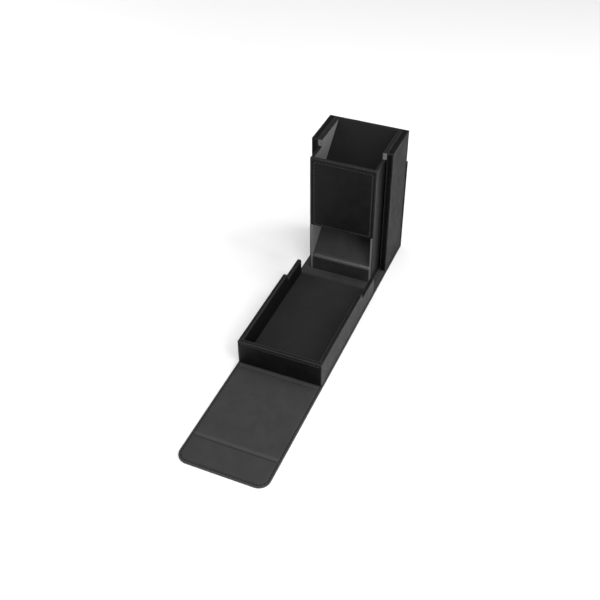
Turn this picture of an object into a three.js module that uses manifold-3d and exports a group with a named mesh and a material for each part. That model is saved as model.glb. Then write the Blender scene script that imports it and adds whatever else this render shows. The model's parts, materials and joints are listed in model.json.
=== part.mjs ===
// Folding dice tower in black leatherette over board, opened out on a table.
//
// One cover runs under everything: it goes up the tower's back, under the tower and the tray, and on
// past the tray as a flap with a creased end flap. Folded, the tray closes the tower's front, the flap
// covers its top and the end flap holds by magnets behind it.
//
// Millimetres. +X runs across the width, +Y from the end flap towards the tower and +Z up. The origin
// is under the middle of the opened object, on the table.

import * as THREE from "three";
import { mergeVertices } from "three/addons/utils/BufferGeometryUtils.js";
import Module from "manifold-3d";

const wasm = await Module();
wasm.setup();

// ---- Driving dimensions ----

const WIDTH = 79; // tower and tray
const HALF_WIDTH = WIDTH / 2;
const COVER_HALF_WIDTH = 40.1;

// Layers
const SKIN = 0.6; // leatherette or lining sheet
const GLUE = 0.1; // glue line between two layers
const TURNED_GAP = 0.3; // gap to a piece that stands at an angle
const PANEL = 2.4; // cover panel: leatherette, board and lining
const SEAM_MARGIN = 3.6; // from a cover panel's sewn edge to its board
const CUT_PAST = 5; // how far a cutter runs past an open face

// Hinges: each one is a soft strip, and its line lies in the middle of the strip
const HINGE_Z = 0.6;
const STIFF_END = 2.2; // from a hinge line to the stiff panel beside it

// Tower, measured from the tray's hinge line
const TOWER_HEIGHT = 136.2;
const SHELL_FRONT = 33.9;
const SHELL_BACK = 80.1;
const SHELL_SIDE = 6.3; // side wall thickness
const SHELL_REAR = 2.4; // rear wall thickness
const BACK_PANEL = 1.8;
const BACK_PANEL_TOP = 102;

// Chute inside the tower
const CHUTE_HALF_WIDTH = 32.1;
const CHUTE_WALL = 2.6;
const CHUTE_FRONT = 11.5;
const CHUTE_FRONT_WALL = 2.9;
const CHUTE_FRONT_TOP = 129.7;
const CHUTE_SIDE_TOP = 135.8;
const CHUTE_STEP_TOP = 129;
const STEP_RADIUS = 2.5;
const STEP_STEPS = 4;
const GAP_STRIP = 7; // height of the strip that closes the gap between chute and shell
const EXIT_TOP = 55.8;
const BAFFLE = 2.4; // board and lining of a baffle
const UPPER_SLOPE = 0.822; // fall of the upper baffle for each mm forwards
const UPPER_TIP = 39.5; // its free front edge
const DEFLECTOR_SLOPE = 0.7;
const DEFLECTOR_TOP = 86;
const DEFLECTOR_TIP = 33;
const RAMP_SLOPE = 0.893;
const RAMP_NOSE_HEIGHT = 17.3; // height of the ramp's surface at the chute's front
const NOSE_RADIUS = 3.5;
const NOSE_STEPS = 6;
const LIP = 2.6; // thickness of the upright lip under the nose

// Tray, measured back from the tray's hinge line
const TRAY_LENGTH = 135.2;
const TRAY_WALL = 4;
const TRAY_WALL_TOP = 27.6;
const TRAY_LOW_TOP = 20.7; // the side walls are lower near the tower
const TRAY_STEP = 36;
const TRAY_STEP_RUN = 2;
const TRAY_FLOOR_BOARD = 1.9;
const TRAY_FLOOR_LINING = 0.7;

// Flap and end flap, measured from the tray's front
const FLAP_HINGE_OFFSET = 2.75;
const FLAP_HINGE_SPACING = 84.25; // from the flap's hinge line to the end flap's
const END_FLAP_LENGTH = 29.2;
const CORNER_RADIUS = 10;
const CORNER_STEPS = 10;

// Magnets in the end flap and the steel plates that they hold to
const DISC_RADIUS = 5;
const DISC_THICKNESS = 0.8;
const DISC_PLACES = { left: -18, right: 18 };
const DISC_FROM_HINGE = 16.5;
const DISC_FACETS = 24;

// ---- Derived places ----

const SHELL_INNER_HALF = HALF_WIDTH - SHELL_SIDE;
const SHELL_REAR_INNER = SHELL_BACK - SHELL_REAR;
const COVER_BACK = SHELL_BACK + TURNED_GAP + BACK_PANEL;
const STAND_Z = PANEL + GLUE; // foot of everything that stands on a cover panel
const CHUTE_INNER_HALF = CHUTE_HALF_WIDTH - CHUTE_WALL;
const BAFFLE_HALF_WIDTH = CHUTE_INNER_HALF - GLUE;
const BAFFLE_REAR = SHELL_REAR_INNER - GLUE;
const CHUTE_FRONT_INNER = CHUTE_FRONT + CHUTE_FRONT_WALL;
const FLAP_HINGE = TRAY_LENGTH + FLAP_HINGE_OFFSET;
const CLOSED_TOP = HINGE_Z + FLAP_HINGE; // height of the flap's hinge line when the tray is folded up
const discPlaces = Object.entries(DISC_PLACES);
const OPEN_FRONT = -(FLAP_HINGE + FLAP_HINGE_SPACING + END_FLAP_LENGTH);
const ORIGIN_Y = (OPEN_FRONT + COVER_BACK) / 2;

// ---- Materials ----

function material(color, roughness, metalness = 0) {
  return new THREE.MeshStandardMaterial({ color, roughness, metalness });
}

const leatherette = () => material(0x1c1c1c, 0.55);
const smoothLeatherette = () => material(0x202020, 0.32);
const lining = () => material(0x2b2b2a, 0.92);
const darkSuede = () => material(0x1d1d1c, 0.95);
const greyLining = () => material(0x5c5c5b, 0.9);
const fibreboard = () => material(0x94805f, 0.9);
const steel = () => material(0xb0b3b6, 0.35, 1);
const nickel = () => material(0xc4c4c0, 0.25, 1);

// ---- Shape helpers ----

const X_AXIS = new THREE.Vector3(1, 0, 0);
const Y_AXIS = new THREE.Vector3(0, 1, 0);
const Z_AXIS = new THREE.Vector3(0, 0, 1);

function block(x, y, z) {
  const geometry = new THREE.BoxGeometry(x[1] - x[0], y[1] - y[0], z[1] - z[0]);
  return geometry.translate((x[0] + x[1]) / 2, (y[0] + y[1]) / 2, (z[0] + z[1]) / 2);
}

function shapeOf(outline) {
  return new THREE.Shape(outline.map(([u, v]) => new THREE.Vector2(u, v)));
}

// A prism across the width, drawn as its side view in (y, z).
function sidePrism(outline, x) {
  const geometry = new THREE.ExtrudeGeometry(shapeOf(outline), { depth: x[1] - x[0], bevelEnabled: false });
  geometry.applyMatrix4(new THREE.Matrix4().makeBasis(Y_AXIS, Z_AXIS, X_AXIS));
  return geometry.translate(x[0], 0, 0);
}

// A plate lying flat, drawn as its plan in (x, y).
function planPlate(outline, z) {
  const geometry = new THREE.ExtrudeGeometry(shapeOf(outline), { depth: z[1] - z[0], bevelEnabled: false });
  return geometry.translate(0, 0, z[0]);
}

function toSolid(geometry) {
  const bare = new THREE.BufferGeometry();
  const source = geometry.index ? geometry.toNonIndexed() : geometry;
  bare.setAttribute("position", source.getAttribute("position"));
  const merged = mergeVertices(bare);
  return new wasm.Manifold(
    new wasm.Mesh({
      numProp: 3,
      vertProperties: merged.getAttribute("position").array,
      triVerts: new Uint32Array(merged.index.array),
    }),
  );
}

function toGeometry(solid) {
  const mesh = solid.getMesh();
  const geometry = new THREE.BufferGeometry();
  geometry.setAttribute("position", new THREE.BufferAttribute(mesh.vertProperties, 3));
  geometry.setIndex(new THREE.BufferAttribute(mesh.triVerts, 1));
  geometry.computeVertexNormals();
  return geometry;
}

// The first geometry with the others cut away from it.
function cut(geometry, ...cutters) {
  return toGeometry(cutters.reduce((left, cutter) => left.subtract(toSolid(cutter)), toSolid(geometry)));
}

function join(first, second) {
  return toGeometry(toSolid(first).add(toSolid(second)));
}

function addPiece(group, name, geometry, look) {
  const piece = new THREE.Mesh(geometry, look);
  piece.name = name;
  group.add(piece);
  return piece;
}

function flatDisc(radius, thickness) {
  return new THREE.CylinderGeometry(radius, radius, thickness, DISC_FACETS).rotateX(Math.PI / 2);
}

// A magnet or steel plate lying flat about the origin, and the hole that it sits in.
function disc() {
  return flatDisc(DISC_RADIUS, DISC_THICKNESS);
}

function discHole() {
  return flatDisc(DISC_RADIUS + TURNED_GAP, CUT_PAST);
}

// ---- Cover panels ----

// Plan of a panel that runs from near to far along -Y, drawn in by inset at its sewn edges: the sides,
// and the far end if that is sewn, which may have round corners. The other ends are drawn in by turn.
function panelOutline({ near, far, sewnFar = false, cornerRadius = 0 }, inset, turn = 0) {
  const half = COVER_HALF_WIDTH - inset;
  const start = near - turn;
  const end = sewnFar ? far + inset : far + turn;
  const radius = Math.max(cornerRadius - inset, 0);
  const outline = [
    [half, start],
    [-half, start],
  ];
  if (radius === 0) {
    return [...outline, [-half, end], [half, end]];
  }
  for (const side of [-1, 1]) {
    for (let step = 0; step <= CORNER_STEPS; step += 1) {
      const sweep = (step / CORNER_STEPS) * (Math.PI / 2);
      const along = side < 0 ? sweep : Math.PI / 2 - sweep;
      outline.push([
        side * (half - radius + radius * Math.cos(along)),
        end + radius - radius * Math.sin(along),
      ]);
    }
  }
  return outline;
}

// A stiff cover panel lying with its leatherette down. The lining covers the board and its ends, and
// drops at the sides to a thin border that is sewn to the leatherette.
function addCoverPanel(group, name, plan, holes = []) {
  const boardFoot = SKIN + GLUE;
  const boardTop = PANEL - SKIN - GLUE;
  const pocketZ = [boardFoot - CUT_PAST, boardTop + GLUE];
  const pocket = planPlate(panelOutline(plan, SEAM_MARGIN, SKIN), pocketZ);
  const border = planPlate(panelOutline(plan, 0), [boardFoot, boardFoot + SKIN]);
  const raised = planPlate(panelOutline(plan, SEAM_MARGIN - SKIN), [boardFoot, PANEL]);
  const board = planPlate(panelOutline(plan, SEAM_MARGIN + GLUE, SKIN + GLUE), [boardFoot, boardTop]);
  addPiece(group, `${name}_skin`, planPlate(panelOutline(plan, 0), [0, SKIN]), leatherette());
  addPiece(group, `${name}_board`, cut(board, ...holes), fibreboard());
  addPiece(group, `${name}_lining`, cut(join(border, raised), pocket), lining());
}

// The cover's panel up the tower's back: its leatherette turns in round the board's edges.
function addBackPanel(tower) {
  const plan = { near: -(PANEL + TURNED_GAP), far: -BACK_PANEL_TOP, sewnFar: true };
  const recess = planPlate(panelOutline(plan, SEAM_MARGIN, SKIN), [SKIN, BACK_PANEL + CUT_PAST]);
  const skin = cut(planPlate(panelOutline(plan, 0), [0, BACK_PANEL]), recess);
  const board = planPlate(panelOutline(plan, SEAM_MARGIN + GLUE, SKIN + GLUE), [SKIN + GLUE, BACK_PANEL]);
  const back = new THREE.Group();
  back.position.set(0, COVER_BACK, 0);
  back.rotation.set(Math.PI / 2, 0, Math.PI);
  addPiece(back, "back_skin", skin, leatherette());
  addPiece(back, "back_board", board, fibreboard());
  tower.add(back);
}

// The two soft layers of a hinge, between two stiff panels.
function addHingeStrip(group, name, y) {
  const x = [-COVER_HALF_WIDTH, COVER_HALF_WIDTH];
  const span = [y[0] + GLUE, y[1] - GLUE];
  const leatherZ = [GLUE, GLUE + SKIN];
  const liningZ = [leatherZ[1] + GLUE, leatherZ[1] + GLUE + SKIN];
  addPiece(group, `${name}_leather`, block(x, span, leatherZ), leatherette());
  addPiece(group, `${name}_lining`, block(x, span, liningZ), lining());
}

// ---- Covered walls ----

// A board wrapped in leatherette and open at its foot. sideView(inset, foot) gives the wall's (y, z)
// outline drawn in by inset on every edge but the foot.
function addCoveredWall(group, name, sideView, x) {
  const boardInset = SKIN + GLUE;
  const pocket = sidePrism(sideView(SKIN, STAND_Z - CUT_PAST), [x[0] + SKIN, x[1] - SKIN]);
  const cover = cut(sidePrism(sideView(0, STAND_Z), x), pocket);
  const board = sidePrism(sideView(boardInset, STAND_Z), [x[0] + boardInset, x[1] - boardInset]);
  addPiece(group, `${name}_cover`, cover, leatherette());
  addPiece(group, `${name}_board`, board, fibreboard());
}

// ---- Tower ----

// The two side slots and the rear slot of the shell's cover, drawn in by inset on every face but the foot.
function shellSlots(inset, foot) {
  const z = [foot, TOWER_HEIGHT - inset];
  const sideY = [SHELL_FRONT + inset, SHELL_BACK - inset];
  const rearHalf = SHELL_INNER_HALF - inset;
  const near = SHELL_INNER_HALF + inset;
  const far = HALF_WIDTH - inset;
  return {
    left: block([-far, -near], sideY, z),
    right: block([near, far], sideY, z),
    rear: block([-rearHalf, rearHalf], [SHELL_REAR_INNER + inset, SHELL_BACK - inset], z),
  };
}

function addShell(tower) {
  const full = block([-HALF_WIDTH, HALF_WIDTH], [SHELL_FRONT, SHELL_BACK], [STAND_Z, TOWER_HEIGHT]);
  const well = block(
    [-SHELL_INNER_HALF, SHELL_INNER_HALF],
    [SHELL_FRONT - CUT_PAST, SHELL_REAR_INNER],
    [STAND_Z - CUT_PAST, TOWER_HEIGHT + CUT_PAST],
  );
  const pockets = Object.values(shellSlots(SKIN, STAND_Z - CUT_PAST));
  addPiece(tower, "shell_cover", cut(full, well, ...pockets), leatherette());

  const boards = shellSlots(SKIN + GLUE, STAND_Z);
  addPiece(tower, "shell_left_board", boards.left, fibreboard());
  addPiece(tower, "shell_right_board", boards.right, fibreboard());

  const plateY = (SHELL_REAR_INNER + SHELL_BACK) / 2;
  const plateZ = CLOSED_TOP - DISC_FROM_HINGE;
  const holes = discPlaces.map(([, x]) => discHole().rotateX(Math.PI / 2).translate(x, plateY, plateZ));
  addPiece(tower, "shell_rear_board", cut(boards.rear, ...holes), fibreboard());
  for (const [side, x] of discPlaces) {
    const plate = disc().rotateX(Math.PI / 2).translate(x, plateY, plateZ);
    addPiece(tower, `catch_plate_${side}`, plate, steel());
  }
}

// Side view of a chute wall: it steps back behind the front panel, and up inside the shell. The ends are
// drawn in by ends, and the top edges by top.
function chuteWallView({ ends, top }, foot) {
  const insideTop = CHUTE_SIDE_TOP - top;
  const exitTop = EXIT_TOP - GLUE - ends;
  const behindFront = CHUTE_FRONT_INNER + GLUE + ends;
  const step = [];
  for (let index = 0; index <= STEP_STEPS; index += 1) {
    const turn = (index / STEP_STEPS) * (Math.PI / 2);
    const reach = STEP_RADIUS + top;
    step.push([
      SHELL_FRONT - STEP_RADIUS + reach * Math.cos(turn),
      CHUTE_STEP_TOP + STEP_RADIUS - reach * Math.sin(turn),
    ]);
  }
  return [
    [CHUTE_FRONT + ends, foot],
    [BAFFLE_REAR - ends, foot],
    [BAFFLE_REAR - ends, insideTop],
    [SHELL_FRONT + top, insideTop],
    ...step,
    [behindFront, CHUTE_STEP_TOP - top],
    [behindFront, exitTop],
    [CHUTE_FRONT + ends, exitTop],
  ];
}

// A chute side wall: grey lining on the inside, turned round the board's ends, and leatherette on the
// outside and over the top. side is -1 for the left wall and 1 for the right one.
function addChuteSide(tower, name, side) {
  const across = (from, to) => (side < 0 ? [-to, -from] : [from, to]);
  const fit = SKIN + GLUE;
  const inner = CHUTE_INNER_HALF;
  const outer = CHUTE_HALF_WIDTH;
  const openFoot = STAND_Z - CUT_PAST;

  const sheet = sidePrism(chuteWallView({ ends: 0, top: fit }, STAND_Z), across(inner, outer - fit));
  const liningPocket = sidePrism(
    chuteWallView({ ends: SKIN, top: 0 }, openFoot),
    across(inner + SKIN, outer + CUT_PAST),
  );
  addPiece(tower, `${name}_lining`, cut(sheet, liningPocket), greyLining());

  const board = sidePrism(chuteWallView({ ends: fit, top: fit }, STAND_Z), across(inner + fit, outer - fit));
  addPiece(tower, `${name}_board`, board, fibreboard());

  const wall = sidePrism(chuteWallView({ ends: 0, top: 0 }, STAND_Z), across(inner, outer));
  const coverPocket = sidePrism(
    chuteWallView({ ends: -CUT_PAST, top: SKIN }, openFoot),
    across(inner - CUT_PAST, outer - SKIN),
  );
  const strip = block(
    across(outer - SKIN, SHELL_INNER_HALF - GLUE),
    [SHELL_FRONT + GLUE, BAFFLE_REAR],
    [CHUTE_SIDE_TOP - GAP_STRIP, CHUTE_SIDE_TOP],
  );
  addPiece(tower, `${name}_cover`, join(cut(wall, coverPocket), strip), leatherette());
}

function addChuteFront(tower) {
  const y = (inset) => [CHUTE_FRONT + inset, CHUTE_FRONT_INNER - inset];
  const x = (inset) => [-CHUTE_HALF_WIDTH + inset, CHUTE_HALF_WIDTH - inset];
  const top = (inset) => CHUTE_FRONT_TOP - inset;
  const fit = SKIN + GLUE;
  const pocket = block(x(SKIN), y(SKIN), [EXIT_TOP - CUT_PAST, top(SKIN)]);
  const cover = cut(block(x(0), y(0), [EXIT_TOP, top(0)]), pocket);
  addPiece(tower, "chute_front_cover", cover, leatherette());
  addPiece(tower, "chute_front_board", block(x(fit), y(fit), [EXIT_TOP, top(fit)]), fibreboard());
}

// A baffle's board, and its lining, which turns down over the board's free end. surface(y) is the height
// of the upper face between ends[0] and ends[1], and free is the index of the free end, if there is one.
function addBaffle(tower, name, surface, ends, free) {
  const upright = Math.hypot(1, surface(1) - surface(0));
  const slab = ([top, bottom], [near, far], x) => {
    const corner = (y, depth) => [y, surface(y) - depth * upright];
    return sidePrism([corner(near, bottom), corner(far, bottom), corner(far, top), corner(near, top)], x);
  };
  // The ends moved in by inset where the baffle is free, and out by past where it is fixed.
  const movedEnds = (inset, past) => [
    ends[0] + (free === 0 ? inset : -past),
    ends[1] - (free === 1 ? inset : -past),
  ];
  const x = [-BAFFLE_HALF_WIDTH, BAFFLE_HALF_WIDTH];
  const pastX = [x[0] - CUT_PAST, x[1] + CUT_PAST];
  const pocket = slab([SKIN, BAFFLE + CUT_PAST], movedEnds(SKIN, CUT_PAST), pastX);
  const board = slab([SKIN + TURNED_GAP, BAFFLE], movedEnds(SKIN + GLUE, 0), x);
  addPiece(tower, `${name}_lining`, cut(slab([0, BAFFLE], ends, x), pocket), darkSuede());
  addPiece(tower, `${name}_board`, board, fibreboard());
}

function rampSurface(y) {
  return RAMP_NOSE_HEIGHT + (y - CHUTE_FRONT) * RAMP_SLOPE;
}

// Where the ramp's face would meet a round nose whose front is inset behind the chute's front.
function noseCentre() {
  const tilt = Math.atan(RAMP_SLOPE);
  const y = CHUTE_FRONT + NOSE_RADIUS;
  const z = rampSurface(y) - NOSE_RADIUS / Math.cos(tilt);
  return { y, z, tilt };
}

// Side view of the lip below the ramp, drawn in by inset: an upright strip with a round nose on top.
function lipView(inset, foot) {
  const nose = noseCentre();
  const radius = NOSE_RADIUS - inset;
  const rear = CHUTE_FRONT + LIP - inset;
  const arc = [];
  const sweep = Math.PI / 2 - nose.tilt;
  for (let step = 0; step <= NOSE_STEPS; step += 1) {
    const turn = (step / NOSE_STEPS) * sweep;
    arc.push([nose.y - radius * Math.cos(turn), nose.z + radius * Math.sin(turn)]);
  }
  const [noseEndY, noseEndZ] = arc[arc.length - 1];
  const crest = noseEndZ + (rear - noseEndY) * RAMP_SLOPE;
  return [[rear, foot], [rear, crest], ...arc.reverse(), [nose.y - radius, foot]];
}

function addLip(tower) {
  const x = (inset) => [-BAFFLE_HALF_WIDTH + inset, BAFFLE_HALF_WIDTH - inset];
  const fit = SKIN + GLUE;
  const pocket = sidePrism(lipView(SKIN, STAND_Z - CUT_PAST), x(SKIN));
  addPiece(tower, "exit_lip_cover", cut(sidePrism(lipView(0, STAND_Z), x(0)), pocket), smoothLeatherette());
  addPiece(tower, "exit_lip_board", sidePrism(lipView(fit, STAND_Z), x(fit)), fibreboard());
}

function buildTower() {
  const tower = new THREE.Group();
  addCoverPanel(tower, "base", { near: COVER_BACK, far: STIFF_END });
  addBackPanel(tower);
  addShell(tower);

  addChuteSide(tower, "chute_left", -1);
  addChuteSide(tower, "chute_right", 1);
  addChuteFront(tower);

  const upperSurface = (y) => TOWER_HEIGHT - TURNED_GAP - (SHELL_REAR_INNER - y) * UPPER_SLOPE;
  const deflectorSurface = (y) => DEFLECTOR_TOP - (y - CHUTE_FRONT_INNER) * DEFLECTOR_SLOPE;
  addBaffle(tower, "upper_baffle", upperSurface, [UPPER_TIP, BAFFLE_REAR], 0);
  addBaffle(tower, "deflector", deflectorSurface, [CHUTE_FRONT_INNER + GLUE, DEFLECTOR_TIP], 1);
  addBaffle(tower, "lower_ramp", rampSurface, [CHUTE_FRONT + LIP + TURNED_GAP, BAFFLE_REAR]);
  addLip(tower);
  return tower;
}

// ---- Tray ----

// Side view of a tray side wall: full height at the front, lower near the tower.
function trayWallView(inset, foot) {
  const front = -TRAY_LENGTH + TRAY_WALL + GLUE + inset;
  const rear = -STIFF_END - inset;
  return [
    [front, foot],
    [rear, foot],
    [rear, TRAY_LOW_TOP - inset],
    [-TRAY_STEP + TRAY_STEP_RUN - inset, TRAY_LOW_TOP - inset],
    [-TRAY_STEP - inset, TRAY_WALL_TOP - inset],
    [front, TRAY_WALL_TOP - inset],
  ];
}

function trayFrontView(inset, foot) {
  const front = -TRAY_LENGTH + inset;
  const rear = -TRAY_LENGTH + TRAY_WALL - inset;
  const top = TRAY_WALL_TOP - inset;
  return [
    [front, foot],
    [rear, foot],
    [rear, top],
    [front, top],
  ];
}

// The tray's own floor: a board with a lining that turns down over the end at the tower.
function addTrayFloor(tray) {
  const floorHalf = HALF_WIDTH - TRAY_WALL - GLUE;
  const floorX = [-floorHalf, floorHalf];
  const floorY = [-TRAY_LENGTH + TRAY_WALL + GLUE, -STIFF_END];
  const liningFoot = STAND_Z + TRAY_FLOOR_BOARD + GLUE;
  const floorTop = liningFoot + TRAY_FLOOR_LINING;
  const pastX = [-floorHalf - CUT_PAST, floorHalf + CUT_PAST];
  const pocket = block(pastX, [floorY[0] - CUT_PAST, floorY[1] - SKIN], [STAND_Z - CUT_PAST, liningFoot]);
  const boardY = [floorY[0], floorY[1] - SKIN - GLUE];
  addPiece(tray, "tray_floor_lining", cut(block(floorX, floorY, [STAND_Z, floorTop]), pocket), darkSuede());
  addPiece(tray, "tray_floor_board", block(floorX, boardY, [STAND_Z, liningFoot - GLUE]), fibreboard());
}

function buildTray() {
  const tray = new THREE.Group();
  addCoverPanel(tray, "tray", { near: -STIFF_END, far: -TRAY_LENGTH });
  addTrayFloor(tray);

  const wallX = [HALF_WIDTH - TRAY_WALL, HALF_WIDTH];
  addCoveredWall(tray, "tray_left", trayWallView, [-wallX[1], -wallX[0]]);
  addCoveredWall(tray, "tray_right", trayWallView, wallX);
  addCoveredWall(tray, "tray_front", trayFrontView, [-HALF_WIDTH, HALF_WIDTH]);
  addHingeStrip(tray, "tray_hinge", [-STIFF_END, STIFF_END]);
  return tray;
}

// ---- Flap and end flap ----

function buildFlap() {
  const flap = new THREE.Group();
  addCoverPanel(flap, "flap", { near: -STIFF_END, far: -(FLAP_HINGE_SPACING - STIFF_END) });
  addHingeStrip(flap, "flap_hinge", [-STIFF_END, FLAP_HINGE_OFFSET]);
  return flap;
}

function buildEndFlap() {
  const endFlap = new THREE.Group();
  const discZ = PANEL / 2;
  const holes = discPlaces.map(([, x]) => discHole().translate(x, -DISC_FROM_HINGE, discZ));
  const plan = { near: -STIFF_END, far: -END_FLAP_LENGTH, sewnFar: true, cornerRadius: CORNER_RADIUS };
  addCoverPanel(endFlap, "end_flap", plan, holes);
  for (const [side, x] of discPlaces) {
    addPiece(endFlap, `end_flap_magnet_${side}`, disc().translate(x, -DISC_FROM_HINGE, discZ), nickel());
  }
  addHingeStrip(endFlap, "end_flap_hinge", [-STIFF_END, STIFF_END]);
  return endFlap;
}

// ---- The opened object: each part hangs from the hinge line of the one before it ----

const endFlap = buildEndFlap();
endFlap.position.y = -FLAP_HINGE_SPACING;

const flap = buildFlap();
flap.position.y = -FLAP_HINGE;
flap.add(endFlap);

const tray = buildTray();
tray.add(flap);

const diceTower = buildTower();
diceTower.add(tray);
diceTower.position.y = -ORIGIN_Y;

const group = new THREE.Group();
group.add(diceTower);

export default group;
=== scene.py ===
"""Looks of the folding dice tower: leatherette, linings, stitching and soft hinges."""

import json
import math

import bmesh
import bpy
from mathutils import Matrix, Vector, noise
from mathutils.bvhtree import BVHTree
from mathutils.kdtree import KDTree

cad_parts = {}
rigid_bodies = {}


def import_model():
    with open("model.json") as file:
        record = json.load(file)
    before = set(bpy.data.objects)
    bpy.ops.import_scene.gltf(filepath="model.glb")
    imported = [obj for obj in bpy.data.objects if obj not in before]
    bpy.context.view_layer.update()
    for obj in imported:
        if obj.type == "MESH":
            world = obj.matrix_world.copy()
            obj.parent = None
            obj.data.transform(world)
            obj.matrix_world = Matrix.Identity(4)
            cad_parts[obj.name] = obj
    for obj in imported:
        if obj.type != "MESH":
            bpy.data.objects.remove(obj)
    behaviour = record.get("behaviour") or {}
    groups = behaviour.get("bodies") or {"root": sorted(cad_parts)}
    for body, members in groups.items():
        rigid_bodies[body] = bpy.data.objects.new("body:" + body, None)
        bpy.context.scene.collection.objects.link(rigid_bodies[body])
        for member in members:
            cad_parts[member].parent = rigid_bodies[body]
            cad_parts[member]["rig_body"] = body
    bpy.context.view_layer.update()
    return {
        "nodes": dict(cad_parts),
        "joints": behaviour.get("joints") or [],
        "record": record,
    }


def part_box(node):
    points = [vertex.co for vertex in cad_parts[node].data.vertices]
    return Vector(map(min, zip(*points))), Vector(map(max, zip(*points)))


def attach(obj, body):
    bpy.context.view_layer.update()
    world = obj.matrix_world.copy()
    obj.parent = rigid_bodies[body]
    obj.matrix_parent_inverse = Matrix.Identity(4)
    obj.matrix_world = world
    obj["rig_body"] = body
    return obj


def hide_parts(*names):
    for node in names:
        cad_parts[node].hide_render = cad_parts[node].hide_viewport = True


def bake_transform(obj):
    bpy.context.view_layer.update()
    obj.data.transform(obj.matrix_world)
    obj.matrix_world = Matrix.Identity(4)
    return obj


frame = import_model()

# ---- Sizes, in metres ----

MM = 0.001
WELD = 1e-6
FLAT = math.radians(1)
CORNER = math.radians(30)
SHARP = math.radians(50)

HINGE_Y = {joint["name"]: joint["pos_m"][1] for joint in frame["joints"]}
STIFF_END = 2.2 * MM  # from a hinge line to the stiff panel beside it

BORDER_TOP = 1.8 * MM  # top of the sewn border, where the cover has no board
SHEET = 0.6 * MM  # thickness of leatherette or lining
STITCH_INSET = 1.8 * MM  # from a cover's edge to its stitching
STITCH_PITCH = 3.3 * MM
STITCH_LENGTH = 2.5 * MM
THREAD = 0.36 * MM  # radius
STITCH_DIP = 0.4 * MM  # depth that the thread pulls the surface down
STITCH_REACH = 0.5 * MM  # width of that dip
SHOULDER_START = 2.1 * MM  # from a cover's edge to the foot of its pads
SHOULDER_END = 3.4 * MM
SHOULDER_FOOT_END = 3.6 * MM  # where the lining's under face reaches its board
CREASE_LOW = 0.7 * MM  # from the tray's hinge line to the foot of the shoulders beside it
CREASE_HIGH = 2.4 * MM  # from any hinge line to the top of those shoulders
BAND = 0.5 * MM  # from a hinge line to the middle of the painted highlight band behind it
BAND_REACH = 1.3 * MM
SCORE = 1.95 * MM  # from a hinge line to the pressed groove in front of it
SCORE_DEPTH = 0.95 * MM
SCORE_REACH = 0.5 * MM
FOLD_MARGIN = 1.1 * MM  # from a rounded corner to the end of its wear and painted highlight
FOLD_REACH = 0.7 * MM  # how quickly that wear and painted highlight fade
CORNER_GRID = 0.5 * MM  # corners nearer together than this are cut once
HUG = 0.2 * MM  # a cover this near to a board lies against it
RIPPLE_SIZE = 16 * MM
WANDER = 0.05 * MM  # how far the lining over a board rises and falls
WANDER_SIZE = 14 * MM
EDGE_DROP = 0.2 * MM  # how far the lining's cut edge turns down
EDGE_REACH = 0.3 * MM
EDGE_WEAR_AND_HIGHLIGHT = 0.5 * MM

PANEL_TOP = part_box("flap_lining")[1].z
HALF_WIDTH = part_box("flap_lining")[1].x
END_RADIUS = 10 * MM  # round corners of the end flap
COVER_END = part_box("end_flap_lining")[0].y
COVER_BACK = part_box("back_skin")[1].y
COVER_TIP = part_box("back_skin")[1].z
BACK_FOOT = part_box("back_skin")[0].z
TRAY_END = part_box("tray_lining")[0].y
LAYER_GAP = 0.05 * MM
BACK_FOLD = 0.7 * MM  # the lining stops this far inside the cover's rear fold

WEAR_AND_HIGHLIGHT_TONE = 0.035  # tone of leatherette along a fold: wear and a painted highlight
WEAVE_SCALE = 1 / (2 * math.pi * 0.09 * MM) / 3.3  # of the lining cloth's threads


# ---- Materials ----

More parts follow.
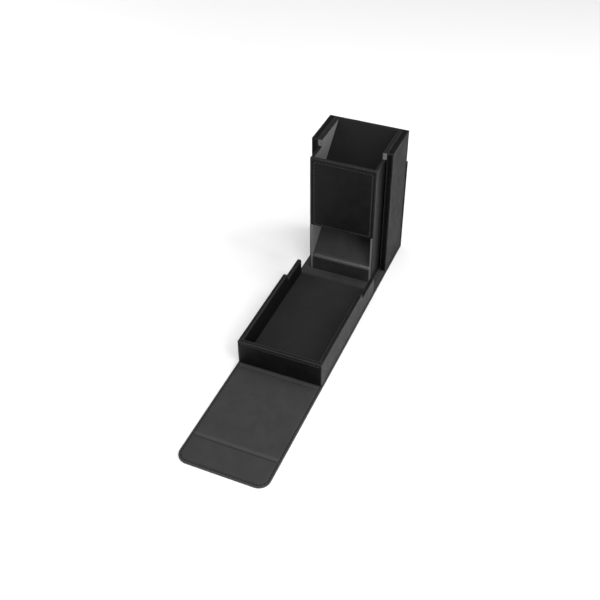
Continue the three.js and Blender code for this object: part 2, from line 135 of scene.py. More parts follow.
class Look:
    """A Principled material whose colour, roughness and bump come from small node chains."""

    def __init__(self, name, **sockets):
        self.material = bpy.data.materials.new(name)
        self.material.use_nodes = True
        self.tree = self.material.node_tree
        self.shader = self.tree.nodes["Principled BSDF"]
        for socket, value in sockets.items():
            self.shader.inputs[socket.replace("_", " ")].default_value = value
        self.place = self.tree.nodes.new("ShaderNodeTexCoord").outputs["Object"]
        self.normal = None

    def node(self, kind, settings=(), **inputs):
        made = self.tree.nodes.new(kind)
        for key, value in dict(settings).items():
            setattr(made, key, value)
        for key, value in inputs.items():
            socket = made.inputs[key.replace("_", " ")]
            if isinstance(value, bpy.types.NodeSocket):
                self.tree.links.new(value, socket)
            else:
                socket.default_value = value
        return made

    def stretched(self, x, y, z):
        return self.node("ShaderNodeMapping", Vector=self.place, Scale=(x, y, z)).outputs["Vector"]

    def noise(self, size, detail=2.0, roughness=0.5, distortion=0.0, place=None):
        return self.node(
            "ShaderNodeTexNoise",
            Vector=place or self.place,
            Scale=1 / size,
            Detail=detail,
            Roughness=roughness,
            Distortion=distortion,
        ).outputs["Fac"]

    def cells(self, size, feature="F1", randomness=1.0, place=None):
        return self.node(
            "ShaderNodeTexVoronoi",
            {"feature": feature},
            Vector=place or self.place,
            Scale=1 / size,
            Randomness=randomness,
        ).outputs["Distance"]

    def attribute(self, name):
        return self.node("ShaderNodeAttribute", {"attribute_name": name}).outputs["Fac"]

    def spread(self, value, low, high, to_low=0.0, to_high=1.0):
        made = self.node("ShaderNodeMapRange", {"interpolation_type": "SMOOTHSTEP"}, Value=value)
        limits = {"From Min": low, "From Max": high, "To Min": to_low, "To Max": to_high}
        for key, number in limits.items():
            made.inputs[key].default_value = number
        return made.outputs["Result"]

    def math(self, operation, a, b):
        made = self.tree.nodes.new("ShaderNodeMath")
        made.operation = operation
        for socket, value in zip(made.inputs, (a, b)):
            if isinstance(value, bpy.types.NodeSocket):
                self.tree.links.new(value, socket)
            else:
                socket.default_value = value
        return made.outputs[0]

    def mix(self, factor, first, second):
        made = self.tree.nodes.new("ShaderNodeMix")
        made.data_type = "RGBA"
        for index, value in ((0, factor), (6, first), (7, second)):
            if isinstance(value, bpy.types.NodeSocket):
                self.tree.links.new(value, made.inputs[index])
            else:
                made.inputs[index].default_value = value if index == 0 else (*value, 1)
        return made.outputs[2]

    def colour(self, value):
        self.tree.links.new(value, self.shader.inputs["Base Color"])

    def roughness(self, value):
        self.tree.links.new(value, self.shader.inputs["Roughness"])

    def bump(self, height, depth, strength=1.0):
        """Adds a height field, depth metres high, to the ones before it."""
        made = self.node("ShaderNodeBump", Height=height, Distance=depth, Strength=strength)
        if self.normal is not None:
            self.tree.links.new(self.normal, made.inputs["Normal"])
        self.normal = made.outputs["Normal"]
        self.tree.links.new(self.normal, self.shader.inputs["Normal"])


def grey(value, warmth=0.0):
    return (value * (1 + warmth), value, value * (1 - warmth))


def leatherette_look(
    name, tone, gloss, shine, pebble=0.85 * MM, depth=0.05 * MM, waves=0.08 * MM, mottle=1.0
):
    """Pressed-grain leatherette: pebbles between creases, lighter along its folds from wear and a
    painted highlight.
    """
    look = Look(name, Specular_IOR_Level=shine)
    drift = look.node("ShaderNodeVectorMath", {"operation": "SCALE"}, Scale=0.5 * MM)
    look.tree.links.new(look.noise(6 * MM, detail=3), drift.inputs[0])
    warped = look.node("ShaderNodeVectorMath", {"operation": "ADD"})
    look.tree.links.new(look.place, warped.inputs[0])
    look.tree.links.new(drift.outputs[0], warped.inputs[1])
    pebbles = look.cells(pebble, "DISTANCE_TO_EDGE", place=warped.outputs[0])
    creases = look.spread(pebbles, 0.0, 0.28)
    pits = look.spread(look.noise(0.22 * MM, detail=2), 0.35, 0.65)
    blotches = look.noise(11 * MM, detail=4, roughness=0.6)
    streaks = look.noise(5 * MM, detail=4, roughness=0.6, place=look.stretched(1.0, 1.0, 0.12))
    scuffs = look.spread(look.noise(1.3 * MM, detail=5, roughness=0.75), 0.66, 0.74)
    patches = look.spread(look.noise(3 * MM, detail=4), 0.3, 0.7, 0.55, 1.0)
    # Along rounded folds and cut edges, in patches: wear and a painted highlight, lighter and a
    # little glossier.
    wear_and_highlight = look.math("MULTIPLY", look.attribute("fold"), patches)
    clouds = look.math("MULTIPLY", blotches, 0.65)
    clouds = look.math("ADD", clouds, look.math("MULTIPLY", streaks, 0.35))
    dark = grey(tone * (1 - 0.28 * mottle), 0.02)
    light = grey(tone * (1 + 0.3 * mottle), 0.02)
    body = look.mix(look.spread(clouds, 0.38, 0.62), dark, light)
    body = look.mix(look.spread(creases, 0.0, 1.0, 0.45, 0.0), body, grey(tone * 0.45))
    body = look.mix(look.math("MULTIPLY", scuffs, 0.25), body, grey(tone * 3.5, 0.02))
    look.colour(look.mix(look.math("MULTIPLY", wear_and_highlight, 0.6), body, grey(WEAR_AND_HIGHLIGHT_TONE, 0.02)))
    sheen = look.spread(clouds, 0.35, 0.65, gloss - 0.03, gloss + 0.05)
    look.roughness(look.math("ADD", sheen, look.math("MULTIPLY", wear_and_highlight, -0.1)))
    look.bump(look.noise(9 * MM, detail=2), waves, 0.6)
    look.bump(creases, depth, 0.75)
    look.bump(pits, 0.02 * MM, 0.5)
    return look.material


def nap_look(name, tone, warmth, sheen, nap=0.35 * MM):
    """Short-nap suede or microfibre: soft patches where the nap lies over, and fine fibres."""
    look = Look(
        name, Roughness=0.95, Specular_IOR_Level=0.25, Sheen_Weight=sheen, Sheen_Roughness=0.55
    )
    look.shader.inputs["Sheen Tint"].default_value = (*grey(0.9), 1)
    brushed = look.noise(16 * MM, detail=5, roughness=0.62, distortion=0.6)
    fibres = look.noise(nap, detail=3, roughness=0.7)
    streaks = look.noise(1.0 * MM, detail=3, roughness=0.6, place=look.stretched(0.45, 1.0, 1.0))
    dark, light = (grey(tone * share, warmth) for share in (0.9, 1.1))
    body = look.mix(look.spread(brushed, 0.35, 0.65), dark, light)
    body = look.mix(look.spread(fibres, 0.3, 0.7, 0.0, 0.4), body, grey(tone * 0.6, warmth))
    # Painted highlight, with some wear, on the lining's cut edges and in the bands behind its front
    # creases.
    fold = look.math("MULTIPLY", look.attribute("fold"), 0.6)
    look.colour(look.mix(fold, body, grey(tone * 1.7, warmth)))
    look.bump(streaks, 0.05 * MM, 0.5)
    look.bump(fibres, 0.06 * MM, 0.8)
    return look.material


def woven_look(name, tone):
    """Fine plain-woven lining cloth."""
    look = Look(name, Roughness=0.8, Specular_IOR_Level=0.3, Sheen_Weight=0.1)
    threads = []
    for direction in ("X", "Y", "Z"):
        wave = look.node(
            "ShaderNodeTexWave",
            {"wave_type": "BANDS", "bands_direction": direction, "wave_profile": "SIN"},
            Vector=look.place,
            Scale=WEAVE_SCALE,
            Distortion=0.6,
            Detail=1.0,
        )
        threads.append(wave.outputs["Fac"])
    weave = look.math("ADD", look.math("ADD", threads[0], threads[1]), threads[2])
    weave = look.math("MULTIPLY", weave, 0.333)
    slub = look.noise(5 * MM, detail=4, roughness=0.6)
    body = look.mix(look.spread(slub, 0.35, 0.65), grey(tone * 0.92), grey(tone * 1.08))
    look.colour(look.mix(look.spread(weave, 0.35, 0.7, 0.0, 0.3), grey(tone * 0.6), body))
    look.bump(weave, 0.05 * MM, 0.6)
    look.bump(slub, 0.1 * MM, 0.4)
    return look.material


def edge_paint_look():
    """Matte black paint on the cover's cut edge."""
    look = Look("edge_paint", Specular_IOR_Level=0.3)
    grain = look.noise(0.5 * MM, detail=3)
    look.colour(look.mix(look.spread(grain, 0.3, 0.7), grey(0.008), grey(0.016)))
    look.roughness(look.spread(grain, 0.3, 0.7, 0.35, 0.5))
    look.bump(grain, 0.04 * MM, 0.6)
    return look.material


def thread_look(name, tone):
    """Twisted polyester thread."""
    look = Look(name, Roughness=0.6, Specular_IOR_Level=0.15, Sheen_Weight=0.02)
    strands = look.noise(0.12 * MM, detail=2, place=look.stretched(1.0, 0.6, 1.4))
    look.colour(look.mix(look.spread(strands, 0.3, 0.7), grey(tone * 0.6), grey(tone * 1.4)))
    look.bump(strands, 0.04 * MM, 0.8)
    return look.material


def fibreboard_look():
    look = Look("raw_fibreboard", Roughness=0.9, Specular_IOR_Level=0.25)
    flecks = look.noise(0.9 * MM, detail=4, roughness=0.7, place=look.stretched(0.4, 1.0, 1.0))
    clouds = look.noise(12 * MM, detail=3)
    body = look.mix(look.spread(clouds, 0.35, 0.65), (0.25, 0.17, 0.095), (0.33, 0.235, 0.14))
    look.colour(look.mix(look.spread(flecks, 0.5, 0.7, 0.0, 0.6), body, (0.13, 0.085, 0.045)))
    look.bump(flecks, 0.06 * MM, 0.6)
    return look.material


def metal_look(name, tone, low, high, stretch):
    """Plain sheet metal, rolled in one direction."""
    look = Look(name, Metallic=1.0)
    lines = look.noise(0.25 * MM, detail=4, roughness=0.65, place=look.stretched(stretch, 1.0, 1.0))
    look.colour(look.mix(look.spread(lines, 0.3, 0.7), grey(tone * 0.9), grey(tone * 1.05)))
    look.roughness(look.spread(lines, 0.3, 0.7, low, high))
    look.bump(lines, 0.006 * MM, 0.5)
    return look.material


LEATHERETTE = leatherette_look("leatherette", tone=0.0044, gloss=0.45, shine=0.12)
SHELL_LEATHERETTE = leatherette_look("shell_leatherette", tone=0.0022, gloss=0.48, shine=0.055)
SMOOTH = leatherette_look(
    "smooth_leatherette",
    tone=0.022,
    gloss=0.16,
    shine=1.0,
    pebble=0.6 * MM,
    depth=0.01 * MM,
    waves=0.02 * MM,
    mottle=0.3,
)
COVER_LINING = nap_look("cover_lining", tone=0.0275, warmth=0.004, sheen=0.03)
# The cover lining's cloth made darker: painted shade for the tower's shadow over the tray floor.
TRAY_LINING_IN_SHADE = nap_look("tray_suede", tone=0.0125, warmth=0.004, sheen=0.02)
DARK_SUEDE = nap_look("dark_suede", tone=0.0056, warmth=0.004, sheen=0.015)
GREY_LINING = woven_look("grey_lining", tone=0.152)
EDGE_PAINT = edge_paint_look()
DARK_THREAD = thread_look("dark_thread", tone=0.0015)
PALE_THREAD = thread_look("pale_thread", tone=0.036)

CAD_LOOKS = {
    "fibreboard": fibreboard_look(),
    "steel_plate": metal_look("rolled_steel", 0.56, 0.28, 0.42, 0.06),
    "magnet": metal_look("nickel_plate", 0.68, 0.16, 0.28, 0.5),
}


# ---- Mesh helpers ----

def smoothstep(low, high, value):
    t = min(max((value - low) / (high - low), 0), 1)
    return t * t * (3 - 2 * t)


def dent(distance, width):
    """A smooth groove's profile: 1 in the middle, and 0 some widths away."""
    return math.exp(-((distance / width) ** 2))


def groove_cuts(*centres):
    """Places for cuts that let a narrow groove at each centre show."""
    steps = (-1.2, -0.8, -0.5, -0.3, -0.1, 0.1, 0.3, 0.5, 0.8, 1.2)
    return [centre + step * MM for centre in centres for step in steps]


def welded(node):
    """A CAD node's mesh with its corners joined and its flat faces whole."""
    bm = bmesh.new()
    bm.from_mesh(frame["nodes"][node].data)
    bmesh.ops.remove_doubles(bm, verts=bm.verts, dist=WELD)
    bmesh.ops.dissolve_limit(bm, angle_limit=FLAT, verts=bm.verts, edges=bm.edges)
    bm.normal_update()
    return bm


def tree_of(nodes):
    """A search tree of the boards that a cover wraps."""
    joined = bmesh.new()
    for node in nodes:
        joined.from_mesh(frame["nodes"][node].data)
    tree = BVHTree.FromBMesh(joined)
    joined.free()
    return tree


def hugs(tree, point):
    """Whether a point of a cover lies against the board inside it."""
    return tree is not None and tree.find_nearest(point, HUG)[0] is not None


def round_corners(bm, radius, boards):
    """Rounds the outer corners, and leaves the pockets sharp."""
    flag = bm.faces.layers.int.new("rounded")
    inner = {face for face in bm.faces if hugs(boards, face.calc_center_median())}
    edges = [
        edge
        for edge in bm.edges
        if edge.is_convex
        and edge.calc_face_angle(0) > CORNER
        and not inner.intersection(edge.link_faces)
    ]
    made = bmesh.ops.bevel(
        bm,
        geom=edges,
        offset=radius,
        offset_type="OFFSET",
        segments=4,
        profile=0.5,
        affect="EDGES",
        clamp_overlap=True,
    )
    for face in made["faces"]:
        face[flag] = 1


def divide(bm, spacing, extra):
    """Cuts the mesh by planes across each axis, evenly and beside each of its corners."""
    corners = [
        {round(v.co[axis] / CORNER_GRID) * CORNER_GRID for v in bm.verts} for axis in range(3)
    ]
    for axis in range(3):
        places = [v.co[axis] for v in bm.verts]
        low, high = min(places), max(places)
        count = max(int((high - low) / spacing), 1)
        cuts = [low + (high - low) * step / count for step in range(1, count)]
        if high - low > 3 * FOLD_MARGIN:
            cuts += [place + side * FOLD_MARGIN for place in corners[axis] for side in (-1, 1)]
        cuts += extra.get("xyz"[axis], ())
        direction = Vector([float(axis == index) for index in range(3)])
        for place in sorted({cut for cut in cuts if low < cut < high}):
            bmesh.ops.bisect_plane(
                bm,
                geom=bm.verts[:] + bm.edges[:] + bm.faces[:],
                dist=WELD / 10,
                plane_co=direction * place,
                plane_no=direction,
            )


def mark_folds(bm, reach):
    """Each point's nearness to a rounded fold, for wear and a painted highlight."""
    flag = bm.faces.layers.int["rounded"]
    rounded = [v.co for face in bm.faces if face[flag] for v in face.verts]
    layer = bm.verts.layers.float.new("fold")
    if not rounded:
        return
    tree = KDTree(len(rounded))
    for index, point in enumerate(rounded):
        tree.insert(point, index)
    tree.balance()
    for vertex in bm.verts:
        vertex[layer] = dent(tree.find(vertex.co)[2], reach)


def ripple(bm, depth, boards):
    """Lets the surface wander a little in and out, as glued sheet does."""
    bm.normal_update()
    for vertex in bm.verts:
        if hugs(boards, vertex.co):
            continue
        vertex.co -= vertex.normal * (depth / 2 * noise.noise(vertex.co / RIPPLE_SIZE))


def add_piece(name, bm, body, look, slot):
    mesh = bpy.data.meshes.new(name)
    bm.to_mesh(mesh)
    bm.free()
    mesh.shade_smooth()
    mesh.set_sharp_from_angle(angle=SHARP)
    piece = bpy.data.objects.new(name, mesh)
    bpy.context.scene.collection.objects.link(piece)
    mesh.materials.append(look)
    normals = piece.modifiers.new("even_normals", "WEIGHTED_NORMAL")
    normals.keep_sharp = True
    if body:
        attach(piece, body)
    return piece


def slot_of(node):
    parts = frame["record"]["subparts"]
    return next(part["material_slot"] for part in parts if part["node"] == node)


def finished(
    name, node, look, radius, boards=(), spacing=6 * MM, extra=None, shape=None, sink=0.1 * MM
):
    """A finished piece made from a CAD node: its corners rounded, its faces divided and shaped."""
    tree = tree_of(boards) if boards else None
    bm = welded(node)
    round_corners(bm, radius, tree)
    divide(bm, spacing, extra or {})
    mark_folds(bm, FOLD_REACH)
    if shape:
        moved = [(vertex, shape(vertex.co)) for vertex in bm.verts]
        for vertex, place in moved:
            vertex.co = place
    ripple(bm, sink, tree)
    piece = add_piece(name, bm, frame["nodes"][node]["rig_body"], look, slot_of(node))
    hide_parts(node)
    return piece


# ---- Stitching ----

def along(points, pitch):
    """Evenly spaced places and directions along a line of points."""
    lengths = [(b - a).length for a, b in zip(points, points[1:])]
    total = sum(lengths)
    count = max(int(total / pitch), 1)
    step = total / count
    for index in range(count):
        left = (index + 0.5) * step
        for a, b, length in zip(points, points[1:], lengths):
            if left <= length:
                yield a.lerp(b, left / length), (b - a).normalized()
                break
            left -= length


def add_stitch(bm, centre, forward, up):
    """One stitch: a short arched thread whose ends go down into their holes."""
    turn = math.radians(5 + 2 * noise.noise(centre / (2 * MM)))
    forward = (Matrix.Rotation(turn, 3, up) @ forward).normalized()
    side = up.cross(forward)
    rings, sides = 8, 8
    loops = []
    for ring in range(rings + 1):
        t = 2 * ring / rings - 1
        radius = THREAD * math.sqrt(max(1 - abs(t) ** 5, 0.03))
        middle = centre + forward * (t * STITCH_LENGTH / 2) + up * (THREAD * (0.55 - 0.9 * t * t))
        loop = []
        for corner in range(sides):
            turn = 2 * math.pi * corner / sides
            offset = side * math.cos(turn) + up * (0.75 * math.sin(turn))
            loop.append(bm.verts.new(middle + offset * radius))
        loops.append(loop)
    for first, second in zip(loops, loops[1:]):
        for corner in range(sides):
            after = (corner + 1) % sides
            bm.faces.new((first[corner], first[after], second[after], second[corner]))
    bm.faces.new(loops[0][::-1])
    bm.faces.new(loops[-1])


def stitches(name, body, runs, look=DARK_THREAD):
    """Rows of stitches; each run is its points and the direction away from the surface."""
    bm = bmesh.new()
    for points, up in runs:
        for centre, forward in along([Vector(p) for p in points], STITCH_PITCH):
            add_stitch(bm, centre, forward, Vector(up))
    bmesh.ops.recalc_face_normals(bm, faces=bm.faces)
    return add_piece(name, bm, body, look, "leatherette")


# ---- The cover: a sewn border, and a raised pad over each board ----

BORDER_STEPS = [
    step * MM
    for step in (
        0.08, 0.2, 0.4, 0.8, 1.1, 1.3, 1.5, 1.65, 1.8, 1.95,
        2.1, 2.3, 2.5, 2.7, 2.9, 3.1, 3.3, 3.5, 4.2,
    )
]
CREASE_STEPS = [
    step * MM
    for step in (0, 0.35, 0.7, 1.0, 1.25, 1.5, 1.65, 1.8, 1.95, 2.1, 2.2, 2.3, 2.45, 2.8)
]
EVEN_ROWS = 80
HALF_COLUMNS = 8  # on each side of the middle, between the borders
COVER_LENGTH = COVER_BACK - COVER_END
SHEET_ROWS = [COVER_END + COVER_LENGTH * step / EVEN_ROWS for step in range(EVEN_ROWS + 1)]
SHEET_ROWS += [COVER_END + step for step in BORDER_STEPS]
SHEET_ROWS += [
    COVER_END + END_RADIUS * (1 - math.cos(math.radians(turn))) for turn in range(5, 91, 5)
]
SHEET_ROWS += [
    line + side * step for line in HINGE_Y.values() for side in (-1, 1) for step in CREASE_STEPS
]
SIDE_CUTS = [side * (HALF_WIDTH - step) for side in (-1, 1) for step in BORDER_STEPS]
SCORED = ("flap_fold", "end_flap_fold")  # hinges with a pressed groove


def half_width(y):
    """Half the cover's width at y, which falls off at the end flap's round corners."""
    reach = COVER_END + END_RADIUS - y
    if reach <= 0:
        return HALF_WIDTH
    return HALF_WIDTH - END_RADIUS + math.sqrt(max(END_RADIUS ** 2 - reach ** 2, 0))


def border_distance(x, y):
    """Distance in from the cover's outline."""
    over_x = abs(x) - (HALF_WIDTH - END_RADIUS)
    over_y = COVER_END + END_RADIUS - y
    if over_x > 0 and over_y > 0:
        return END_RADIUS - math.hypot(over_x, over_y)
    if y < HINGE_Y["end_flap_fold"]:
        return min(HALF_WIDTH - abs(x), y - COVER_END)
    return HALF_WIDTH - abs(x)


def on_pad(x, y):
    """1 over the boards, and 0 on the sewn border."""
    return smoothstep(SHOULDER_START, SHOULDER_END, border_distance(x, y))


def crease_rise(name, y):
    """1 where the lining is clear of a hinge, falling to 0 in its crease."""
    behind = y - HINGE_Y[name]
    if name == "tray_fold":
        return smoothstep(CREASE_LOW, CREASE_HIGH, abs(behind))
    if behind <= -SCORE:
        return smoothstep(SCORE, CREASE_HIGH, -behind)
    if name == "end_flap_fold":
        return smoothstep(-SCORE, CREASE_HIGH, behind)
    return 0 if y < TRAY_END else 1


def cover_top(x, y):
    """Height of the cover's lining: low on its border and in the hinges, high over its boards."""
    inward = border_distance(x, y)
    pad = on_pad(x, y)
    raised = min(pad, *(crease_rise(name, y) for name in HINGE_Y))
    score = pad * sum(dent(y - HINGE_Y[name] + SCORE, SCORE_REACH) for name in SCORED)
    wander = WANDER * raised * noise.noise(Vector((x, y, 0)) / WANDER_SIZE)
    groove = STITCH_DIP * dent(inward - STITCH_INSET, STITCH_REACH)
    edge_drop = EDGE_DROP * dent(inward, EDGE_REACH)
    height = BORDER_TOP + (PANEL_TOP - BORDER_TOP) * raised
    return height + wander - groove - edge_drop - SCORE_DEPTH * score


def crease_highlight(x, y):
    """How much painted highlight the lining gets in the bands behind the two front creases."""
    return on_pad(x, y) * max(dent(y - HINGE_Y[name] - BAND, BAND_REACH) for name in SCORED)


def lining_foot(x, y):
    """Height of the lining's under face: on the leatherette at the border, and over the boards."""
    over_board = smoothstep(SHOULDER_START, SHOULDER_FOOT_END, border_distance(x, y))
    for line in HINGE_Y.values():
        over_board = min(over_board, smoothstep(STIFF_END, STIFF_END + SHEET, abs(y - line)))
    low = SHEET + LAYER_GAP
    return low + (PANEL_TOP - SHEET - low) * over_board


def skin_top(x, y):
    """Height of the leatherette's inner face, which is flat."""
    return SHEET


def skin_foot(x, y):
    """Height of the leatherette's outer face, which the stitches pull in."""
    return STITCH_DIP * dent(border_distance(x, y) - STITCH_INSET, STITCH_REACH)


def add_sheet(name, node, span, look, top, foot, ride=True):
    """One layer of the cover over a span along it, shaped by the heights of its two faces."""
    bm = bmesh.new()
    fold = bm.verts.layers.float.new("fold")
    upper, under = [], []
    for y in sorted({*SHEET_ROWS, *span}):
        if not span[0] <= y <= span[1]:
            continue
        half = half_width(y)
        middle = half - BORDER_STEPS[-1]
        inner = [middle * (step / HALF_COLUMNS - 1) for step in range(1, 2 * HALF_COLUMNS)]
        left = [-half] + [step - half for step in BORDER_STEPS]
        columns = left + inner + [-x for x in left[::-1]]
        for grid, height in ((upper, top), (under, foot)):
            row = [bm.verts.new((x, y, height(x, y))) for x in columns]
            for vertex in row:
                # Lighter along the cut edge, from wear and a painted highlight, and painted
                # highlight bands behind the front creases.
                edge = dent(border_distance(vertex.co.x, y), EDGE_WEAR_AND_HIGHLIGHT)
                vertex[fold] = max(edge, crease_highlight(vertex.co.x, y))
            grid.append(row)

    for grid, order in ((upper, 1), (under, -1)):
        for near, far in zip(grid, grid[1:]):
            for column in range(len(near) - 1):
                corners = (near[column], near[column + 1], far[column + 1], far[column])
                bm.faces.new(corners[::order])
    ends = [list(zip(upper[row], under[row])) for row in (0, -1)]
    edges = [[(a[column], b[column]) for a, b in zip(upper, under)] for column in (0, -1)]
    for edge in edges + ends:
        for (top_a, foot_a), (top_b, foot_b) in zip(edge, edge[1:]):
            bm.faces.new((top_a, top_b, foot_b, foot_a)).material_index = 1
    bmesh.ops.recalc_face_normals(bm, faces=bm.faces)

    body = frame["nodes"][node]["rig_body"] if ride else None
    piece = add_piece(name, bm, body, look, slot_of(node))
    piece.data.materials.append(EDGE_PAINT)
    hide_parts(node)
    return piece


def add_layers(skin, lining, ride=True):
    """The cover's leatherette and lining over one stretch, each as a name, CAD node and span."""
    return [
        add_sheet(*skin, LEATHERETTE, skin_top, skin_foot, ride),
        add_sheet(*lining, COVER_LINING, cover_top, lining_foot, ride),
    ]


def stiff_ends(hinge):
    return (HINGE_Y[hinge] - STIFF_END, HINGE_Y[hinge] + STIFF_END)


PANEL_SPANS = {
    "end_flap": (COVER_END, stiff_ends("end_flap_fold")[0]),
    "flap": (stiff_ends("end_flap_fold")[1], stiff_ends("flap_fold")[0]),
    "tray": (TRAY_END, stiff_ends("tray_fold")[0]),
    "base": (stiff_ends("tray_fold")[1], COVER_BACK),
}
for stem, (near, far) in PANEL_SPANS.items():
    lining_far = far - BACK_FOLD if stem == "base" else far
    add_layers(
        skin=(f"{stem}_outer_leather", f"{stem}_skin", (near, far)),
        lining=(f"{stem}_lining_cloth", f"{stem}_lining", (near, lining_far)),
    )

HINGES = (
    ("tray", "tower", "tray", stiff_ends("tray_fold")),
    ("flap", "tray", "flap", (stiff_ends("flap_fold")[0], TRAY_END)),
    ("end_flap", "flap", "end_flap", stiff_ends("end_flap_fold")),
)
for stem, parent, child, span in HINGES:
    strips = add_layers(
        skin=(f"{stem}_hinge_soft_leather", f"{stem}_hinge_leather", span),
        lining=(f"{stem}_hinge_soft_lining", f"{stem}_hinge_lining", span),
        ride=False,
    )
    near, far = stiff_ends(f"{stem}_fold")
    for piece in strips:
        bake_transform(piece)

# ---- Tower ----

FRONT_LOW, FRONT_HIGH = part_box("chute_front_cover")
FRAME_X = 28.3 * MM  # the front panel's stitched rectangle
FRAME_Z = (FRONT_LOW.z + 1.3 * MM, FRONT_HIGH.z - 4.3 * MM)
RISER_FOOT = FRONT_HIGH.z + 0.2 * MM  # the chute walls' steps are faced with lining above this
RIM_SEAM = 0.35 * MM  # depth of the seam where two turned edges meet on a rim
FRONT_MIDDLE = (FRONT_LOW.y + FRONT_HIGH.y) / 2


def on_face(depth):
    """1 on an outer face, and 0 on the inside of its sheet."""
    return 1 - smoothstep(0.05 * MM, 0.5 * MM, depth)


def frame_distance(x, z):
    """Distance out from the front panel's stitched rectangle."""
    return max(abs(x) - FRAME_X, FRAME_Z[0] - z, z - FRAME_Z[1])


def front_panel(co):
    """Grooves the front panel under its stitches, swells it between them, and seams its rim."""
    out = frame_distance(co.x, co.z)
    groove = STITCH_DIP * dent(out, STITCH_REACH)
    swell = 0.25 * MM * smoothstep(0, 7 * MM, -out)
    seam = RIM_SEAM * dent(co.y - FRONT_MIDDLE, 0.28 * MM) * on_face(FRONT_HIGH.z - co.z)
    return Vector((co.x, co.y + (groove - swell) * on_face(co.y - FRONT_LOW.y), co.z - seam))


def back_panel(co):
    """Grooves the back panel under its stitches, and carries its outer sheet down to the base."""
    inward = min(HALF_WIDTH - abs(co.x), COVER_TIP - co.z)
    groove = STITCH_DIP * dent(inward - STITCH_INSET, STITCH_REACH)
    outer = COVER_BACK - co.y < SHEET + LAYER_GAP / 2
    low = smoothstep(8 * MM, 0, co.z - BACK_FOOT) if outer else 0
    drop = (BACK_FOOT - SHEET - LAYER_GAP) * low
    return Vector((co.x, co.y - groove * on_face(COVER_BACK - co.y), co.z - drop))


finished(
    "shell_leather",
    "shell_cover",
    SHELL_LEATHERETTE,
    radius=0.5 * MM,
    boards=["shell_left_board", "shell_right_board", "shell_rear_board"],
    sink=0.2 * MM,
)
finished(
    "back_outer_leather",
    "back_skin",
    LEATHERETTE,
    radius=0.45 * MM,
    boards=["back_board"],
    extra={
        "x": SIDE_CUTS,
        "y": (COVER_BACK - SHEET, COVER_BACK - SHEET - LAYER_GAP),
        "z": groove_cuts(COVER_TIP - STITCH_INSET),
    },
    shape=back_panel,
    sink=0.06 * MM,
)

CHUTE_LAYERS = (("cloth", "lining", GREY_LINING), ("leather", "cover", LEATHERETTE))
for side in ("left", "right"):
    _, leather = [
        finished(
            f"chute_{side}_{layer}",
            f"chute_{side}_{node}",
            look,
            radius=0.25 * MM,
            boards=[f"chute_{side}_board"],
            sink=0.05 * MM,
        )
        for layer, node, look in CHUTE_LAYERS
    ]
    leather.data.materials.append(GREY_LINING)
    for face in leather.data.polygons:
        if face.normal.y < -0.5 and face.center.z > RISER_FOOT:
            face.material_index = 1

finished(
    "chute_front_leather",
    "chute_front_cover",
    LEATHERETTE,
    radius=0.5 * MM,
    boards=["chute_front_board"],
    spacing=4 * MM,
    extra={
        "x": groove_cuts(-FRAME_X, FRAME_X),
        "y": groove_cuts(FRONT_MIDDLE),
        "z": groove_cuts(*FRAME_Z),
    },
    shape=front_panel,
)
SLOPES = {"upper_baffle": DARK_SUEDE, "deflector": DARK_SUEDE, "lower_ramp": COVER_LINING}
for stem, look in SLOPES.items():
    finished(f"{stem}_cloth", f"{stem}_lining", look, radius=0.25 * MM, boards=[f"{stem}_board"])
finished(
    "exit_lip_leather",
    "exit_lip_cover",
    SMOOTH,
    radius=0.3 * MM,
    boards=["exit_lip_board"],
    sink=0.02 * MM,
)

# ---- Tray ----

TRAY_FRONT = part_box("tray_front_cover")[0].y
TRAY_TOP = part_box("tray_front_cover")[1].z
TRAY_STITCH_Z = TRAY_TOP - 3.1 * MM
TRAY_RIM_MIDDLE = TRAY_FRONT + 2 * MM


def tray_front_panel(co):
    """Grooves the tray's front under its stitches, and seams its rim, which gapes in places."""
    face = on_face(co.y - TRAY_FRONT)
    groove = STITCH_DIP * dent(co.z - TRAY_STITCH_Z, STITCH_REACH)
    swell = 0.2 * MM * smoothstep(0, 8 * MM, TRAY_STITCH_Z - co.z)
    gape = 0.6 + 0.6 * noise.noise(Vector((co.x / (6 * MM), 0, 0)))
    seam = RIM_SEAM * gape * dent(co.y - TRAY_RIM_MIDDLE, 0.3 * MM) * on_face(TRAY_TOP - co.z)
    return Vector((co.x, co.y + (groove - swell) * face, co.z - seam))


finished(
    "tray_floor_cloth",
    "tray_floor_lining",
    TRAY_LINING_IN_SHADE,
    radius=0.3 * MM,
    boards=["tray_floor_board"],
)
for side in ("left", "right"):
    finished(
        f"tray_{side}_leather",
        f"tray_{side}_cover",
        LEATHERETTE,
        radius=0.55 * MM,
        boards=[f"tray_{side}_board"],
    )
finished(
    "tray_front_leather",
    "tray_front_cover",
    LEATHERETTE,
    radius=0.55 * MM,
    boards=["tray_front_board"],
    spacing=4 * MM,
    extra={"y": groove_cuts(TRAY_RIM_MIDDLE), "z": groove_cuts(TRAY_STITCH_Z)},
    shape=tray_front_panel,
)


# ---- Stitching on the cover, the front panel and the tray ----

UP = (0, 0, 1)
DOWN = (0, 0, -1)
FORWARD = (0, -1, 0)
BACKWARD = (0, 1, 0)
TOP_STITCH_Z = BORDER_TOP - STITCH_DIP
LINE_X = HALF_WIDTH - STITCH_INSET


def side_runs(start, end, faces):
    """Runs along both of the cover's side edges; faces gives each one's height and direction."""
    return [
        (((side * LINE_X, start, z), (side * LINE_X, end, z)), up)
        for side in (-1, 1)
        for z, up in faces
    ]


def end_flap_line(start, z):
    """The end flap's stitch line: down one side, round both corners and up the other side."""
    radius = END_RADIUS - STITCH_INSET
    centre_x = LINE_X - radius
    centre_y = COVER_END + END_RADIUS
    turns = [math.radians(90 * step / 8) for step in range(9)]
    corner = [
        (centre_x + radius * math.cos(turn), centre_y - radius * math.sin(turn), z)
        for turn in turns
    ]
    left = [(-LINE_X, start, z)] + [(-x, y, z) for x, y, z in corner]
    return left + corner[::-1] + [(LINE_X, start, z)]


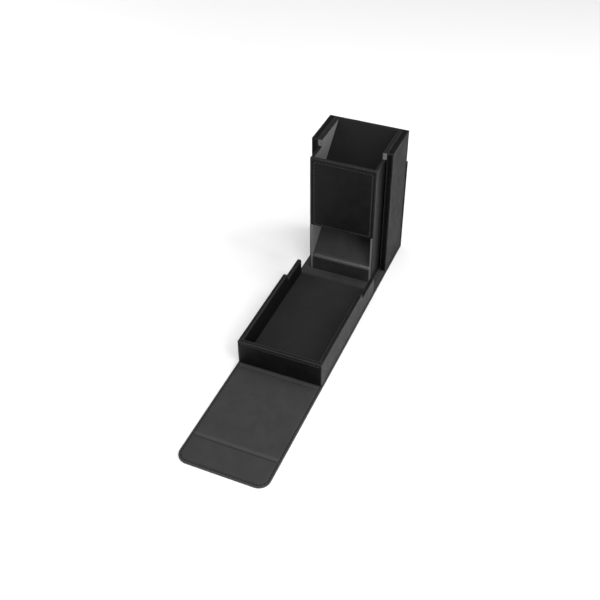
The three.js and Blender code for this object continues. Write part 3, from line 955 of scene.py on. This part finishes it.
BOTH_FACES = ((TOP_STITCH_Z, UP), (STITCH_DIP, DOWN))
UNDERSIDE = ((STITCH_DIP, DOWN),)
COVER_ROWS = {
    "base": ("tower", stiff_ends("tray_fold")[1], COVER_BACK - 2 * MM, UNDERSIDE),
    "tray": ("tray", stiff_ends("tray_fold")[0], TRAY_END, UNDERSIDE),
    "flap": ("flap", stiff_ends("flap_fold")[0], stiff_ends("end_flap_fold")[1], BOTH_FACES),
}
for stem, (body, start, end, faces) in COVER_ROWS.items():
    stitches(f"{stem}_stitches", body, side_runs(start, end, faces))
end_start = stiff_ends("end_flap_fold")[0]
end_runs = [(end_flap_line(end_start, z), up) for z, up in BOTH_FACES]
stitches("end_flap_stitches", "end_flap", end_runs)

for stem, parent, child, (_, far) in HINGES:
    near, blend_start = stiff_ends(f"{stem}_fold")
    row = stitches(f"{stem}_fold_stitches", None, side_runs(near, far, BOTH_FACES))
    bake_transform(row)

back_y = COVER_BACK - STITCH_DIP
back_foot = 4 * MM
back_top = COVER_TIP - STITCH_INSET
back_corners = [
    (-LINE_X, back_y, back_foot),
    (-LINE_X, back_y, back_top),
    (LINE_X, back_y, back_top),
    (LINE_X, back_y, back_foot),
]
back_sides = zip(back_corners, back_corners[1:])
stitches("back_stitches", "tower", [(side, BACKWARD) for side in back_sides])

front_y = FRONT_LOW.y + STITCH_DIP
frame_low, frame_high = FRAME_Z
frame_corners = [
    (-FRAME_X, front_y, frame_low),
    (FRAME_X, front_y, frame_low),
    (FRAME_X, front_y, frame_high),
    (-FRAME_X, front_y, frame_high),
]
frame_sides = zip(frame_corners[-1:] + frame_corners, frame_corners)
stitches("chute_front_stitches", "tower", [(side, FORWARD) for side in frame_sides], PALE_THREAD)

tray_x = HALF_WIDTH - 3 * MM
tray_y = TRAY_FRONT + STITCH_DIP
tray_line = [(x, tray_y, TRAY_STITCH_Z) for x in (-tray_x, tray_x)]
stitches("tray_front_stitches", "tray", [(tray_line, FORWARD)], PALE_THREAD)

# ---- Looks of the pieces that stay as they are ----

for part in frame["record"]["subparts"]:
    look = CAD_LOOKS.get(part["material_slot"])
    if look:
        materials = frame["nodes"][part["node"]].data.materials
        materials.clear()
        materials.append(look)


# ---- Stage ----

FLOOR_GAP = 0.05 * MM
FLOOR_HALF = 4  # metres
WORLD_STRENGTH = 0.5
AREA_LIGHTS = {  # place, target, size and power
    "right_high": ((0.9, 0.3, 1.0), (0, 0.05, 0.05), (0.7, 0.7), 8),
    "left_high": ((-1.1, 0.1, 0.8), (0, 0, 0.05), (0.8, 0.8), 6.6),
    "front_high": ((0.25, -0.8, 1.4), (0, 0, 0.05), (0.8, 0.8), 10),
    "right_low": ((0.55, -0.35, 0.22), (0, -0.05, 0.03), (0.35, 0.3), 3.2),
}
CAMERA_TARGET = Vector((-0.02292, 0.04870, 0))
CAMERA_AZIMUTH = math.radians(23.506)
CAMERA_ELEVATION = math.radians(41.221)
CAMERA_DISTANCE = 0.82905
CAMERA_ROLL = math.radians(-0.697)
CAMERA_LENS = 51.77
CAMERA_SENSOR = 36


def add_floor():
    bm = bmesh.new()
    bmesh.ops.create_grid(bm, x_segments=1, y_segments=1, size=FLOOR_HALF)
    mesh = bpy.data.meshes.new("floor")
    bm.to_mesh(mesh)
    bm.free()
    floor = bpy.data.objects.new("floor", mesh)
    floor.location.z = -FLOOR_GAP
    bpy.context.scene.collection.objects.link(floor)
    look = Look("pale_floor", Roughness=0.9)
    look.shader.inputs["Base Color"].default_value = (0.9, 0.9, 0.9, 1)
    mesh.materials.append(look.material)


def add_area_light(name, place, target, size, power):
    light = bpy.data.lights.new(name, "AREA")
    light.shape = "RECTANGLE"
    light.size, light.size_y = size
    light.energy = power
    lamp = bpy.data.objects.new(name, light)
    lamp.location = place
    lamp.rotation_euler = (Vector(target) - Vector(place)).to_track_quat("-Z", "Y").to_euler()
    bpy.context.scene.collection.objects.link(lamp)


def add_world(strength):
    world = bpy.data.worlds.new("studio")
    world.use_nodes = True
    background = world.node_tree.nodes["Background"]
    background.inputs["Color"].default_value = (1, 1, 1, 1)
    background.inputs["Strength"].default_value = strength
    bpy.context.scene.world = world


def add_camera():
    """The camera looks down at the target from the front right."""
    level = math.cos(CAMERA_ELEVATION)
    back = Vector((
        math.sin(CAMERA_AZIMUTH) * level,
        -math.cos(CAMERA_AZIMUTH) * level,
        math.sin(CAMERA_ELEVATION),
    ))
    camera = bpy.data.cameras.new("camera")
    camera.lens = CAMERA_LENS
    camera.sensor_width = CAMERA_SENSOR
    camera.clip_start = 0.01
    view = bpy.data.objects.new("camera", camera)
    upright = (-back).to_track_quat("-Z", "Y").to_matrix()
    rolled = upright @ Matrix.Rotation(CAMERA_ROLL, 3, "Z")
    place = Matrix.Translation(CAMERA_TARGET + back * CAMERA_DISTANCE)
    view.matrix_world = place @ rolled.to_4x4()
    bpy.context.scene.collection.objects.link(view)
    bpy.context.scene.camera = view


add_floor()
add_camera()
add_world(WORLD_STRENGTH)
for name, settings in AREA_LIGHTS.items():
    add_area_light(name, *settings)
bpy.context.scene.view_settings.view_transform = "Standard"
